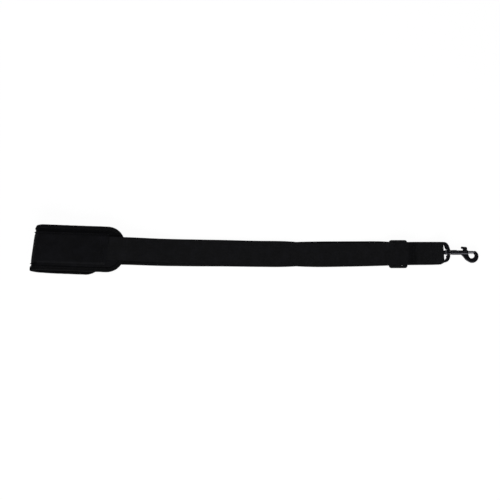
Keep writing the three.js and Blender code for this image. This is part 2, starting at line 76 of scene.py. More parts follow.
def linear(hexColour):
    channels = [int(hexColour[i:i + 2], 16) / 255 for i in (1, 3, 5)]
    return (*[c / 12.92 if c <= 0.04045 else ((c + 0.055) / 1.055) ** 2.4 for c in channels], 1.0)


# adds a shader node; an input may be a value, a socket, or a node, which then gives its first output
def addNode(tree, kind, settings=None, inputs=None):
    node = tree.nodes.new("ShaderNode" + kind)
    for key, value in (settings or {}).items():
        setattr(node, key, value)
    for key, value in (inputs or {}).items():
        if isinstance(value, bpy.types.Node):
            value = value.outputs[0]
        if isinstance(value, bpy.types.NodeSocket):
            tree.links.new(value, node.inputs[key])
        else:
            node.inputs[key].default_value = value
    return node


def newMaterial(name):
    material = bpy.data.materials.new(name)
    material.use_nodes = True
    material.node_tree.nodes.clear()
    return material, material.node_tree


def meshObject(name, bm):
    mesh = bpy.data.meshes.new(name)
    bm.to_mesh(mesh)
    bm.free()
    piece = bpy.data.objects.new(name, mesh)
    bpy.context.scene.collection.objects.link(piece)
    return piece


def softbox(name, place, size, power):
    light = bpy.data.lights.new(name, "AREA")
    light.shape = "RECTANGLE"
    light.size, light.size_y = size
    light.energy = power
    holder = bpy.data.objects.new(name, light)
    holder.location = place
    holder.visible_camera = False
    holder.rotation_euler = (-Vector(place)).to_track_quat("-Z", "Y").to_euler()  # aimed at the origin
    bpy.context.scene.collection.objects.link(holder)


def setStage():
    scene = bpy.context.scene
    scene.view_settings.view_transform = "Standard"
    lens = bpy.data.cameras.new("overheadCamera")
    lens.sensor_width = cameraSetup["sensor"]
    lens.lens = cameraSetup["sensor"] * cameraSetup["height"] / cameraSetup["seenWidth"]
    lens.clip_end = 4 * cameraSetup["height"]
    camera = bpy.data.objects.new("overheadCamera", lens)
    camera.location = (cameraSetup["x"], cameraSetup["y"], cameraSetup["height"])
    scene.collection.objects.link(camera)
    scene.camera = camera

    world = bpy.data.worlds.new("studioWorld")
    world.use_nodes = True
    world.node_tree.nodes.clear()
    sky = addNode(world.node_tree, "Background",
                  inputs={"Color": linear(studio["worldColour"]), "Strength": studio["worldStrength"]})
    addNode(world.node_tree, "OutputWorld", inputs={"Surface": sky})
    scene.world = world
    softbox("keySoftbox", studio["keyPlace"], studio["keySize"], studio["keyPower"])
    softbox("topSoftbox", studio["topPlace"], studio["topSize"], studio["topPower"])

    paper, tree = newMaterial("whitePaperFloor")
    surface = addNode(tree, "BsdfPrincipled", inputs={
        "Base Color": linear(studio["floorColour"]), "Roughness": 0.9,
        "Emission Color": linear("#ffffff"), "Emission Strength": studio["floorGlow"]})
    addNode(tree, "OutputMaterial", inputs={"Surface": surface})
    bm = bmesh.new()
    bmesh.ops.create_grid(bm, x_segments=1, y_segments=1, size=studio["floorHalf"])
    bmesh.ops.translate(bm, verts=bm.verts, vec=(0, 0, cadBox[0].z - studio["floorDrop"]))
    floor = meshObject("floor", bm)
    floor.data.materials.append(paper)
    floor.visible_glossy = False  # keeps the glowing paper out of the plated metal, which is to stay dark


setStage()
print("camera, lights and floor set")


# the strap's route

slideLow, slideHigh = [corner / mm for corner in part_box("slide_adjuster")]
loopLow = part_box("swivel_loop")[0] / mm
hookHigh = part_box("hook_body")[1] / mm
slideMiddle = (slideLow + slideHigh) / 2

gap = 0.3
web = {"width": 38.2, "thick": 1.4, "endCut": 4.5, "endCutLength": 9.6}
pad = {"halfWidth": 36.8, "thick": 6.0, "edgeThick": 2.8, "cornerRadius": 28.5, "topLength": 154.3,
       "bottomLength": 120.2, "underSide": 2.0, "halvesApart": 0.6,
       "flare": 4.3, "flareAcross": (22.5, 28.0), "edgeDrop": (0.4, 1.7), "edgeDropAcross": (31, 37)}
sleeve = {"half": 25.6, "topLength": 126.0, "bottomLength": 95.0, "hemSlant": 0.075, "hemReach": 40.0,
          "wall": 0.75, "hemWall": 0.42, "hemWidth": 13.0, "flankFold": (22.6, 23.2), "flankStitch": 24.5,
          "hemStitches": (6.5, 12.2), "hemDent": 0.25, "hemDentWidth": 0.8, "flankDent": 0.2, "flankDentWidth": 0.5,
          "tunnelEdges": ((-24.6, -21.6), (21.2, 24.4)), "slackFromHem": (12, 30), "slackAcross": (14, 22),
          "slackRise": 0.22, "slackWave": 0.3, "crinkle": 0.1, "foldPuff": 0.6, "puffReach": (8, 22)}
fold = {"x": -357.5, "radius": 11.0}
tab = {"width": 24.4, "thick": 1.34, "barClear": 0.7}
slide = {"length": 28.3, "width": 45.8, "thick": 3.5, "bar": 5.5, "slotFrom": -18.2, "slotTo": 19.3,
         "lip": 0.8, "skew": 0.7, "lane": -7.7, "cornerRadius": 4.0, "slotRadius": 1.0, "rimRadius": 0.9}
hookAxis = {"y": hookHigh.y - 4.0, "z": 4.0}
bar = {"x": loopLow.x + 1.9, "radius": 1.9}


def layer(count):
    return web["thick"] / 2 + (count - 1) * (web["thick"] + gap)


laneZero = slideMiddle.y - slide["lane"]
slideBottom = layer(2) + web["thick"] / 2 + gap
overSlide = slideBottom + slide["thick"] + gap + web["thick"] / 2
overLowerRun = overSlide + web["thick"] + 2 * gap
padMiddle = web["thick"] / 2 + gap + pad["thick"] / 2
overPad = pad["underSide"] + 2 * padMiddle + pad["thick"] + pad["halvesApart"]
foldTop = pad["underSide"] + 2 * fold["radius"]
tabRound = bar["radius"] + tab["barClear"] + web["thick"] / 2
overTabEnd = hookAxis["z"] + tabRound + web["thick"] + gap
slotWidth = (slide["length"] - 3 * slide["bar"]) / 2
slideStart = slideMiddle.x - slide["length"] / 2
leftSlot = slideStart + slide["bar"] + slotWidth / 2
rightSlot = slideStart + 2 * slide["bar"] + 1.25 * slotWidth
rightBar = slideStart + 2 * slide["bar"] + 2 * slotWidth

# x, height and corner radius of the webbing's middle, from its cut end over the hook round to its tail
webRoute = [
    (309.5, overTabEnd + 1.8, 0), (301, overTabEnd, 12), (288.5, layer(3), 12), (265, layer(3), 10),
    (252, overLowerRun, 8), (224, overLowerRun, 8), (211, layer(3), 12), (184, layer(3), 15),
    (170, layer(2), 15), (-122, layer(2), 160), (-206, 13, 130), (-246, overPad, 90),
    (-296, overPad, 55), (-329, foldTop, 45), (fold["x"], foldTop, fold["radius"]),
    (fold["x"], pad["underSide"], fold["radius"]), (-250, pad["underSide"], 80), (-222, layer(1), 80),
    (174, layer(1), 15), (184, layer(2), 15), (leftSlot, layer(2), 1.6), (leftSlot, overSlide, 1.6),
    (rightSlot, overSlide, 1.6), (rightSlot, layer(1), 1.6), (188, layer(1), 0),
]
tabLeft = rightBar - gap - web["thick"] / 2
tabRight = bar["x"] + tabRound
tabRoute = [
    (tabLeft, layer(2), 1.3), (249.8, layer(2), 3), (253.5, layer(1), 3), (296, layer(1), 8),
    (tabRight, hookAxis["z"] - tabRound, tabRound), (tabRight, hookAxis["z"] + tabRound, tabRound),
    (301.5, hookAxis["z"] + tabRound, 8), (290.5, layer(2), 8), (253.8, layer(2), 1.5),
    (250.3, overSlide, 1.5), (tabLeft, overSlide, 1.3),
]

# x, then the sideways place of the pad's and the webbing's two runs, their lean and the webbing's share of width
laneColumns = {"padTop": 1, "padBottom": 2, "webTop": 3, "webBottom": 4, "lean": 5, "share": 6}
lanes = np.array([
    (-359, 4.2, 0.4, 5.0, 0.8, 0.145, 1), (-325, 3.0, -1.9, 4.3, -2.0, 0.13, 1),
    (-290, 1.7, -3.4, 3.6, -3.8, 0.11, 1), (-250, 0.3, -4.9, 2.3, -5.1, 0.075, 1),
    (-205, -1.2, -5.5, 0.7, -6.1, 0.05, 1), (-153, -1.2, -5.5, -1.7, -7.6, 0.03, 1.01),
    (-104, -1.2, -5.5, -3.1, -8.1, 0.02, 1.02), (-55, -1.2, -5.5, -4.0, -8.4, 0.02, 1.02),
    (10, -1.2, -5.5, -5.5, -9.1, 0.01, 1.02), (43, -1.2, -5.5, -5.8, -9.3, 0, 1.02),
    (66, -1.2, -5.5, -7.5, -8.0, 0, 1.045), (88, -1.2, -5.5, -9.1, -6.8, 0, 1.02),
    (125, -1.2, -5.5, -9.2, -6.4, 0, 1.02), (205, -1.2, -5.5, -7.9, -5.9, 0, 1),
    (230, -1.2, -5.5, -7.2, -7.1, 0, 0.99), (255, -1.2, -5.5, -6.7, -7.2, 0, 0.99),
    (288, -1.2, -5.5, -6.5, -7.2, 0, 0.985), (310, -1.2, -5.5, -6.2, -7.2, -0.07, 0.965),
])


def smoothstep(value, low, high):
    t = np.clip((np.asarray(value, float) - low) / (high - low), 0, 1)
    return t * t * (3 - 2 * t)


# a smooth curve through one column of the table above
def laneAt(x, column):
    xs, ys = lanes[:, 0], lanes[:, laneColumns[column]]
    rows = np.arange(len(xs))
    before, after = np.maximum(rows - 1, 0), np.minimum(rows + 1, len(xs) - 1)
    slopes = (ys[after] - ys[before]) / (xs[after] - xs[before])
    x = np.clip(np.asarray(x, float), xs[0], xs[-1])
    i = np.clip(np.searchsorted(xs, x, side="right") - 1, 0, len(xs) - 2)
    span = xs[i + 1] - xs[i]
    t = (x - xs[i]) / span
    return ((1 + 2 * t) * (1 - t) ** 2 * ys[i] + t * (1 - t) ** 2 * span * slopes[i]
            + t * t * (3 - 2 * t) * ys[i + 1] + t * t * (t - 1) * span * slopes[i + 1])


def lengthsAlong(points):
    return np.concatenate([[0], np.cumsum(np.linalg.norm(np.diff(points, axis=0), axis=1))])


# a route's line with its corners rounded, a point at least every millimetre, and how it faces and bends there.
# Points are complex numbers, x + height * 1j. An open route's ends have a radius of 0.
def roundedRoute(route, closed=False):
    corners = [complex(x, z) for x, z, _ in route]
    line = []
    for i, corner in enumerate(corners):
        arriving, leaving = corner - corners[i - 1], corners[(i + 1) % len(corners)] - corner
        turn, radius = cmath.phase(leaving / arriving), route[i][2]
        arriving /= abs(arriving)
        start = corner - arriving * radius * math.tan(abs(turn) / 2)
        centre = start + 1j * arriving * math.copysign(radius, turn)
        steps = max(3, math.ceil(round(math.degrees(abs(turn)) / 3, 6)))
        line += [centre + (start - centre) * cmath.exp(1j * turn * k / steps) for k in range(steps + 1)]
    if closed:
        line.append(line[0])
    fine = [line[0]]
    for a, b in zip(line[:-1], line[1:]):
        parts = math.ceil(abs(b - a)) if abs(b - a) > 1e-6 else 0
        fine += [a + (b - a) * k / parts for k in range(1, parts + 1)]
    fine = np.array(fine)
    lengths = lengthsAlong(np.stack([fine.real, fine.imag], axis=-1))
    tangents = np.gradient(fine, lengths)
    if closed:
        tangents[0] = tangents[-1] = tangents[0] + tangents[-1]
    tangents /= np.abs(tangents)
    bend = np.abs(np.gradient(np.unwrap(np.angle(tangents)), lengths))
    return {"s": lengths, "x": fine.real, "z": fine.imag, "nx": tangents.imag, "nz": -tangents.real, "bend": bend}


webLine = roundedRoute(webRoute)
webLength = webLine["s"][-1]
atFold = webLine["s"][webLine["x"] < webLine["x"].min() + 0.01]
foldMiddle = (atFold[0] + atFold[-1]) / 2
halfTurn = math.pi / 2 * fold["radius"]
padStart, padEnd = foldMiddle - pad["topLength"], foldMiddle + pad["bottomLength"]
padLength = padEnd - padStart
sleeveStart, sleeveEnd = foldMiddle - sleeve["topLength"], foldMiddle + sleeve["bottomLength"]


# how far the pad's loose edges stand out at the fold, past the sleeve's seams
def flareAt(along, across):
    nearFold = 1 - smoothstep(np.abs(along - foldMiddle), 0, 1.2 * halfTurn)
    drop = np.where(across > 0, pad["edgeDrop"][1], pad["edgeDrop"][0])
    return nearFold * (pad["flare"] * smoothstep(np.abs(across), *pad["flareAcross"])
                       - drop * smoothstep(np.abs(across), *pad["edgeDropAcross"]))


# a point of the strap: along the webbing, across its lane, and outwards from the webbing's middle
def onStrap(along, across, out, lane="pad"):
    along, across, out = np.broadcast_arrays(*[np.asarray(v, float) for v in (along, across, out)])
    x, z, nx, nz = [np.interp(along, webLine["s"], webLine[key]) for key in ("x", "z", "nx", "nz")]
    under = smoothstep(along, foldMiddle - halfTurn, foldMiddle + halfTurn)
    middle = laneAt(x, lane + "Top") * (1 - under) + laneAt(x, lane + "Bottom") * under
    if lane == "web":
        across = across * laneAt(x, "share")
    else:
        out = out + flareAt(along, across)
    return np.stack([x + nx * out + across * laneAt(x, "lean"), laneZero + middle + across, z + nz * out], axis=-1)


# smooth noise from -1 to 1, with swells of the two given lengths, the same at each run
def ripple(a, b, scaleA, scaleB, seed):
    a, b = np.broadcast_arrays(np.asarray(a, float), np.asarray(b, float))
    places = zip(a.ravel() / scaleA, b.ravel() / scaleB)
    return np.array([noise.noise(Vector((p, q, seed))) for p, q in places]).reshape(a.shape)


print("route ready: webbing %.0f mm long, pad from %.0f to %.0f mm" % (webLength, padStart, padEnd))


# shared modelling steps

def applyModifiers(piece):
    bpy.context.view_layer.update()
    graph = bpy.context.evaluated_depsgraph_get()
    mesh = bpy.data.meshes.new_from_object(piece.evaluated_get(graph), preserve_all_data_layers=True, depsgraph=graph)
    old = piece.data
    piece.modifiers.clear()
    piece.data = mesh
    mesh.name = piece.name
    bpy.data.meshes.remove(old)


def addModifier(piece, kind, **settings):
    modifier = piece.modifiers.new(kind.lower(), kind)
    for key, value in settings.items():
        setattr(modifier, key, value)


def raiseFaces(bm, faces, height):
    raised = bmesh.ops.extrude_face_region(bm, geom=faces)
    top = [v for v in raised["geom"] if isinstance(v, bmesh.types.BMVert)]
    bmesh.ops.translate(bm, verts=top, vec=(0, 0, height))
    bmesh.ops.recalc_face_normals(bm, faces=bm.faces)


def toMetres(bm, place):
    bmesh.ops.scale(bm, verts=bm.verts, vec=(mm, mm, mm))
    bmesh.ops.translate(bm, verts=bm.verts, vec=Vector(place) * mm)


# a grid whose rows and columns are laid on the points that place gives for (along, across)
def laidGrid(name, rows, columns, place, uvOf=None):
    rows, columns = np.asarray(rows, float), np.asarray(columns, float)
    bm = bmesh.new()
    uvLayer = bm.loops.layers.uv.new("clothUv")
    bmesh.ops.create_grid(bm, x_segments=len(columns) - 1, y_segments=len(rows) - 1, size=0.5)
    bm.verts.index_update()
    flat = np.array([v.co[:2] for v in bm.verts])
    index = np.rint((flat + 0.5) * [len(columns) - 1, len(rows) - 1]).astype(int)
    across, along = columns[index[:, 0]], rows[index[:, 1]]
    points = place(along, across) * mm
    uvs = np.stack(uvOf(along, across) if uvOf else (across, along), axis=-1) * mm
    for v, point in zip(bm.verts, points):
        v.co = point
    for face in bm.faces:
        for loop in face.loops:
            loop[uvLayer].uv = uvs[loop.vert.index]
    bmesh.ops.remove_doubles(bm, verts=bm.verts, dist=1e-7)
    return meshObject(name, bm)


def thickened(piece, thickness, rounding):
    addModifier(piece, "SOLIDIFY", thickness=thickness * mm, offset=0, use_even_offset=False)
    addModifier(piece, "BEVEL", width=rounding * mm, segments=2, limit_method="ANGLE", angle_limit=math.radians(60))
    applyModifiers(piece)


# positions from start to end, closer together where the line bends, and no further apart than the fine parts ask
def stepsAlong(line, start, end, coarsest, fineParts=()):
    steps = [start]
    while steps[-1] < end:
        s = steps[-1]
        near = (line["s"] > s - 2) & (line["s"] < s + 4)
        bend = line["bend"][near].max() if near.any() else 0
        step = min(coarsest, max(0.5, 0.16 / max(bend, 1e-6)))  # a turn of 0.16 radians, or half a millimetre
        for low, high, finest in fineParts:
            if low < s < high:
                step = min(step, finest)
        steps.append(s + step)
    steps[-1] = end
    if steps[-1] - steps[-2] < 0.3:
        steps.pop(-2)
    return np.array(steps)


def dress(piece, material, body, slotName, *nodes):
    piece.data.materials.clear()
    piece.data.materials.append(material)
    piece.data.polygons.foreach_set("use_smooth", [True] * len(piece.data.polygons))
    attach(piece, body)
    if nodes:
        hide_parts(*nodes)


# materials

# the rounded height, from 0 to 1, of threads that lie at the given pitch of a coordinate
def threadHeight(tree, coordinate, pitch):
    angle = addNode(tree, "Math", {"operation": "MULTIPLY"}, {0: coordinate, 1: 2 * math.pi / pitch})
    wave = addNode(tree, "Math", {"operation": "SINE"}, {0: angle})
    return addNode(tree, "Math", {"operation": "MULTIPLY_ADD"}, {0: wave, 1: 0.5, 2: 0.5})


def clothCoordinates(tree):
    uv = addNode(tree, "UVMap", {"uv_map": "clothUv"})
    split = addNode(tree, "SeparateXYZ", inputs={0: uv})
    return uv, split.outputs["X"], split.outputs["Y"]


# the end of every material: two colours mixed by tint, under a third one where cover says, then roughness and relief.
# Where the tint is a relief height (weaves, tape, thread), the shade colour in the low parts is painted shade; for the
# acetal and the plate it is random tone.
def finishSurface(tree, look, tint, height, rough=None, cover=None, coverColour=None):
    colour = addNode(tree, "Mix", {"data_type": "RGBA"}, {0: tint, 6: linear(look["shade"]), 7: linear(look["colour"])})
    if cover is not None:
        colour = addNode(tree, "Mix", {"data_type": "RGBA"}, {0: cover, 6: colour.outputs[2], 7: linear(coverColour)})
    roughness = look["roughness"]
    if rough is not None:
        roughness = addNode(tree, "MapRange", inputs={"Value": rough, "To Min": roughness[0], "To Max": roughness[1]})
    relief = addNode(tree, "Bump", inputs={
        "Strength": look["relief"], "Distance": look["depth"] * mm, "Height": height})
    surface = addNode(tree, "BsdfPrincipled", inputs={
        "Base Color": colour.outputs[2], "Roughness": roughness, "Normal": relief, **look["shader"]})
    addNode(tree, "OutputMaterial", inputs={"Surface": surface})


# a weave of the given height, darker in its low parts as painted shade, with lint on it in patches and fibres that
# roughen it
def finishWeave(tree, look, uv, height):
    patches = addNode(tree, "TexNoise", inputs={
        "Vector": uv, "Scale": 1000 / look["patch"], "Detail": 5.0, "Roughness": 0.6})
    linty = addNode(tree, "MapRange", inputs={
        "Value": patches, "From Min": look["lintFrom"], "From Max": look["lintTo"], "To Max": look["lintMost"]})
    fibres = addNode(tree, "TexNoise", inputs={
        "Vector": uv, "Scale": 1000 / look["fibre"], "Detail": look["fibreDetail"]})
    hairy = addNode(tree, "Math", {"operation": "MULTIPLY_ADD"}, {0: fibres, 1: look["fibreShare"], 2: height})
    finishSurface(tree, look, height, hairy, fibres, linty, look["lint"])


# polypropylene webbing, woven in a herringbone of flat shiny yarns: dull black with a faint grey sheen.
# Ribs and picks are drawn about a third coarser than real ones, so that they show.
webbingWeave = {"rib": 2.4, "pick": 1.9, "slant": 1.3, "valley": 0.22, "relief": 0.8, "depth": 0.16,
                "colour": "#161619", "shade": "#0a0a0d", "lint": "#23232a",
                "patch": 16.67, "lintFrom": 0.45, "lintTo": 0.8, "lintMost": 0.45,
                "fibre": 0.4545, "fibreDetail": 2.0, "fibreShare": 0.2, "roughness": (0.5, 0.72),
                "shader": {"IOR": 1.49, "Specular IOR Level": 0.2, "Sheen Weight": 0.03, "Sheen Roughness": 0.5}}


def makeWebbingMaterial():
    look = webbingWeave
    material, tree = newMaterial("blackPolypropyleneWebbing")
    uv, across, along = clothCoordinates(tree)
    ribs = addNode(tree, "Math", {"operation": "MULTIPLY"}, {0: across, 1: 1000 / look["rib"]})
    zigzag = addNode(tree, "Math", {"operation": "PINGPONG"}, {0: ribs, 1: 1.0})
    picks = addNode(tree, "Math", {"operation": "MULTIPLY"}, {0: along, 1: 1000 / look["pick"]})
    twill = addNode(tree, "Math", {"operation": "MULTIPLY_ADD"}, {0: zigzag, 1: look["slant"], 2: picks})
    valley = addNode(tree, "Math", {"operation": "PINGPONG"}, {0: ribs, 1: 0.5})
    crown = addNode(tree, "MapRange", {"interpolation_type": "SMOOTHSTEP"}, {
        "Value": valley, "From Max": look["valley"]})
    height = addNode(tree, "Math", {"operation": "MULTIPLY"}, {0: threadHeight(tree, twill, 1.0), 1: crown})
    finishWeave(tree, look, uv, height)
    return material


# polyester oxford cloth, a plain weave of matt yarns: blacker and duller than the webbing.
# The yarns are drawn at nearly twice their real pitch, so that they show.
oxfordWeave = {"yarnPitch": 0.85, "relief": 0.8, "depth": 0.1,
               "colour": "#151519", "shade": "#08080b", "lint": "#202027",
               "patch": 22.22, "lintFrom": 0.42, "lintTo": 0.75, "lintMost": 0.5,
               "fibre": 1.111, "fibreDetail": 3.0, "fibreShare": 0.5, "roughness": (0.68, 0.92),
               "shader": {"IOR": 1.5, "Specular IOR Level": 0.16, "Sheen Weight": 0.03, "Sheen Roughness": 0.6}}


def makeOxfordMaterial():
    look = oxfordWeave
    material, tree = newMaterial("blackPolyesterOxford")
    uv, across, along = clothCoordinates(tree)
    warp, weft = [threadHeight(tree, coordinate, 2 * look["yarnPitch"] * mm) for coordinate in (across, along)]
    difference = addNode(tree, "Math", {"operation": "SUBTRACT"}, {0: warp, 1: weft})
    height = addNode(tree, "Math", {"operation": "ABSOLUTE"}, {0: difference})
    finishWeave(tree, look, uv, height)
    return material


# grosgrain tape, ribbed across its width by thick weft yarns: fine bars with a soft shine
tapeWeave = {"rib": 1.1, "relief": 0.8, "depth": 0.12, "colour": "#0d0d11", "shade": "#050507",
             "slub": 2.0, "slubShare": 0.4, "patch": 14.29, "roughness": (0.5, 0.8),
             "shader": {"IOR": 1.5, "Specular IOR Level": 0.16, "Sheen Weight": 0.02, "Sheen Roughness": 0.5}}


def makeTapeMaterial():
    look = tapeWeave
    material, tree = newMaterial("blackGrosgrainTape")
    uv, _, along = clothCoordinates(tree)
    slubs = addNode(tree, "TexNoise", inputs={"Vector": uv, "Scale": 1000 / look["slub"], "Detail": 3.0})
    patches = addNode(tree, "TexNoise", inputs={"Vector": uv, "Scale": 1000 / look["patch"], "Detail": 4.0})
    height = addNode(tree, "Math", {"operation": "MULTIPLY_ADD"}, {
        0: slubs, 1: look["slubShare"], 2: threadHeight(tree, along, look["rib"] * mm)})
    # the tint is the rib height, so it is darker between the ribs: painted shade
    finishSurface(tree, look, height, height, patches)
    return material


# bonded polyester sewing thread, twisted: a touch glossier than the cloth
threadLook = {"colour": "#26262a", "shade": "#101013", "twistPitch": 0.6, "relief": 0.5, "depth": 0.06,
              "roughness": 0.5, "shader": {"IOR": 1.5, "Specular IOR Level": 0.3}}


def makeThreadMaterial():
    look = threadLook
    material, tree = newMaterial("blackPolyesterThread")
    place = addNode(tree, "TexCoord")
    twist = addNode(tree, "TexWave", {"bands_direction": "DIAGONAL"}, {
        "Vector": place.outputs["Object"], "Scale": math.pi / 10 / (look["twistPitch"] * mm), "Distortion": 1.0})
    # the tint is the twist's wave, so it is darker in the twist's grooves: painted shade
    finishSurface(tree, look, twist.outputs[1], twist.outputs[1])
    return material


# injection-moulded acetal with a fine spark-eroded texture: black, satin, catching soft highlights
acetalLook = {"shade": "#08080a", "colour": "#101013", "grain": 0.35, "scuff": 11.11, "relief": 0.35,
              "depth": 0.03, "roughness": (0.3, 0.5), "shader": {"IOR": 1.48}}


def makeAcetalMaterial():
    look = acetalLook
    material, tree = newMaterial("mouldedBlackAcetal")
    place = addNode(tree, "TexCoord").outputs["Object"]
    grain = addNode(tree, "TexNoise", inputs={"Vector": place, "Scale": 1000 / look["grain"], "Detail": 2.0})
    scuffs = addNode(tree, "TexNoise", inputs={
        "Vector": place, "Scale": 1000 / look["scuff"], "Detail": 6.0, "Roughness": 0.65})
    finishSurface(tree, look, scuffs, grain, scuffs)
    return material


# die-cast zinc, polished and plated in black nickel: dark mirror with faint ripples and small rubs.
# The bolt's rod is given a far brighter plate than the rest, a painted highlight for the light band along it; its lever
# keeps the dark plate.
plateLook = {"shade": "#46464b", "colour": "#64646a", "ripple": 3.846, "rub": 1.429, "rubFrom": 0.5, "rubTo": 0.75,
             "relief": 0.4, "depth": 0.1, "roughness": (0.18, 0.32), "shader": {"Metallic": 1.0}}
# the bolt's bright plate colours are a painted highlight, not another metal
boltHighlightLook = {**plateLook, "shade": "#b2b2b7", "colour": "#c2c2c6", "depth": 0.03, "highlightUpTo": 2.6, "blackFrom": 3.6}


def makeNickelMaterial(name, look):
    material, tree = newMaterial(name)
    place = addNode(tree, "TexCoord").outputs["Object"]
    ripples = addNode(tree, "TexNoise", inputs={"Vector": place, "Scale": 1000 / look["ripple"], "Detail": 2.0})
    rubs = addNode(tree, "TexNoise", inputs={
        "Vector": place, "Scale": 1000 / look["rub"], "Detail": 5.0, "Roughness": 0.7})
    rubbed = addNode(tree, "MapRange", inputs={"Value": rubs, "From Min": look["rubFrom"], "From Max": look["rubTo"]})
    # mask where the painted highlight on the bolt's rod gives way to the lever's dark plate
    lever = None
    if look is boltHighlightLook:
        split = addNode(tree, "SeparateXYZ", inputs={0: place})
        lever = addNode(tree, "MapRange", inputs={
            "Value": split.outputs["Y"], "From Min": (hookAxis["y"] + look["highlightUpTo"]) * mm,
            "From Max": (hookAxis["y"] + look["blackFrom"]) * mm})
    finishSurface(tree, look, rubbed, ripples, rubbed, lever, plateLook["shade"])
    return material


webbingMaterial = makeWebbingMaterial()
oxfordMaterial = makeOxfordMaterial()
tapeMaterial = makeTapeMaterial()
threadMaterial = makeThreadMaterial()
acetalMaterial = makeAcetalMaterial()
nickelMaterial = makeNickelMaterial("blackNickelPlate", plateLook)
# the bolt's material carries a painted highlight on its rod
boltMaterial = makeNickelMaterial("boltPaintedHighlightPlate", boltHighlightLook)
print("materials ready")


# main webbing

boxStitch = {"from": 20.5, "to": 51.0, "half": 15.6, "dent": 0.2, "dentWidth": 1.1}
webWaves = {"slight": 0.05, "loose": 0.25, "looseFrom": (450, 480), "looseTo": (500, 530), "edge": 0.12}


def boxStitchLines():
    a, b, h = boxStitch["from"], boxStitch["to"], boxStitch["half"]
    corners = [(a, -h), (a, h), (b, h), (b, -h)]
    return [(corners[i], corners[(i + 1) % 4]) for i in range(4)] + [(corners[0], corners[2]), (corners[1], corners[3])]


# distance to the nearest line of the box and cross
def nearStitches(along, across):
    nearest = np.full(np.shape(along), np.inf)
    for start, end in boxStitchLines():
        d = np.subtract(end, start)
        t = np.clip(((along - start[0]) * d[0] + (across - start[1]) * d[1]) / (d @ d), 0, 1)
        nearest = np.minimum(nearest, np.hypot(along - start[0] - t * d[0], across - start[1] - t * d[1]))
    return nearest


def makeWebbing():
    half = web["width"] / 2
    columns = np.concatenate([[-half, -half + 0.5], np.linspace(-half + 1.4, half - 1.4, 30), [half - 0.5, half]])
    # closer rows at the box stitches, at the cut end and round the fold
    rows = stepsAlong(webLine, 0, webLength, 4.0, [
        (16, 56, 1.1), (-1, 10, 0.8), (foldMiddle - 60, foldMiddle + 60, 2.0)])

    def place(along, across):
        cornerAt = web["endCut"] * np.clip(1 - along / web["endCutLength"], 0, 1) ** 1.5 - half
        cut = np.maximum(across, cornerAt)
        loose = smoothstep(along, *webWaves["looseFrom"]) * (1 - smoothstep(along, *webWaves["looseTo"]))
        out = webWaves["slight"] * ripple(along, across, 22, 16, 3.1)
        out = out + webWaves["loose"] * loose * ripple(along, across, 30, 22, 5.3)
        out = out - boxStitch["dent"] * np.exp(-(nearStitches(along, cut) / boxStitch["dentWidth"]) ** 2)
        edge = webWaves["edge"] * ripple(along, 0 * along, 26, 1, 9.7) * (np.abs(cut) > half - 1)
        return onStrap(along, cut + edge * np.sign(cut), out, "web")

    strap = laidGrid("main_webbing_woven", rows, columns, place)
    thickened(strap, web["thick"], 0.45)
    dress(strap, webbingMaterial, "strap", "webbing", "main_webbing")


makeWebbing()
print("webbing done")


# joining tab, the hidden loop between slide and swivel

def makeTab():
    line = roundedRoute(tabRoute, closed=True)
    columns = np.linspace(-tab["width"] / 2, tab["width"] / 2, 15)
    rows = stepsAlong(line, 0, line["s"][-1], 3.0)

    def place(along, across):
        x, z = np.interp(along, line["s"], line["x"]), np.interp(along, line["s"], line["z"])
        return np.stack([x, hookAxis["y"] + across, z], axis=-1)

    loop = laidGrid("joining_tab_woven", rows, columns, place)
    thickened(loop, tab["thick"], 0.4)
    dress(loop, webbingMaterial, "strap", "webbing", "joining_tab")


makeTab()
print("joining tab done")


# shoulder pad: foam between two covers, squeezed at the edge by the binding

padCloth = {
    "voxel": 2.6, "blankInset": 1.3, "startShare": 0.8, "frames": 20, "cap": 1.3, "edgeBand": 7.2,
    "creases": 0.35, "swells": 0.3, "freeFrom": (26, 29), "sleeveShare": 0.15,
    "seamDent": 0.7, "seamAcross": 24.6, "seamWidth": 1.2, "overfill": 0.2,
    "settings": {"quality": 6, "mass": 0.15, "tension_stiffness": 12, "compression_stiffness": 12,
                 "bending_stiffness": 0.2, "use_pressure": True, "uniform_pressure_force": 4.0},
}


# distance inwards from the pad's rounded outline
def edgeDistance(along, across):
    r = pad["cornerRadius"]
    a = np.abs(along - (padStart + padEnd) / 2) - (padLength / 2 - r)
    b = np.abs(across) - (pad["halfWidth"] - r)
    outside = np.hypot(np.maximum(a, 0), np.maximum(b, 0)) + np.minimum(np.maximum(a, b), 0)
    return r - outside


def padHalfThick(along, across):
    band = padCloth["edgeBand"]
    rise = smoothstep(edgeDistance(along, across), band - 0.6, band + 2.0)
    return pad["edgeThick"] / 2 + (pad["thick"] / 2 - pad["edgeThick"] / 2) * rise


def padBlank():
    inset = padCloth["blankInset"]
    bm = bmesh.new()
    bmesh.ops.create_grid(bm, x_segments=1, y_segments=1, size=0.5)
    bmesh.ops.scale(bm, verts=bm.verts, vec=((padLength - 2 * inset) * mm, 2 * (pad["halfWidth"] - inset) * mm, 1))
    bmesh.ops.bevel(bm, geom=bm.verts[:], offset=(pad["cornerRadius"] - inset) * mm, segments=12,
                    profile=0.5, affect="VERTICES", material=-1)
    raiseFaces(bm, bm.faces[:], pad["thick"] * mm)
    bmesh.ops.translate(bm, verts=bm.verts, vec=((padStart + padEnd) / 2 * mm, 0, -pad["thick"] / 2 * mm))
    blank = meshObject("shoulder_pad_covered", bm)
    addModifier(blank, "REMESH", mode="VOXEL", voxel_size=padCloth["voxel"] * mm)
    applyModifiers(blank)
    return blank


def meshPoints(mesh):
    return np.array([v.co for v in mesh.vertices], float)


def setPoints(mesh, points):
    for v, point in zip(mesh.vertices, points):
        v.co = point
    mesh.update()


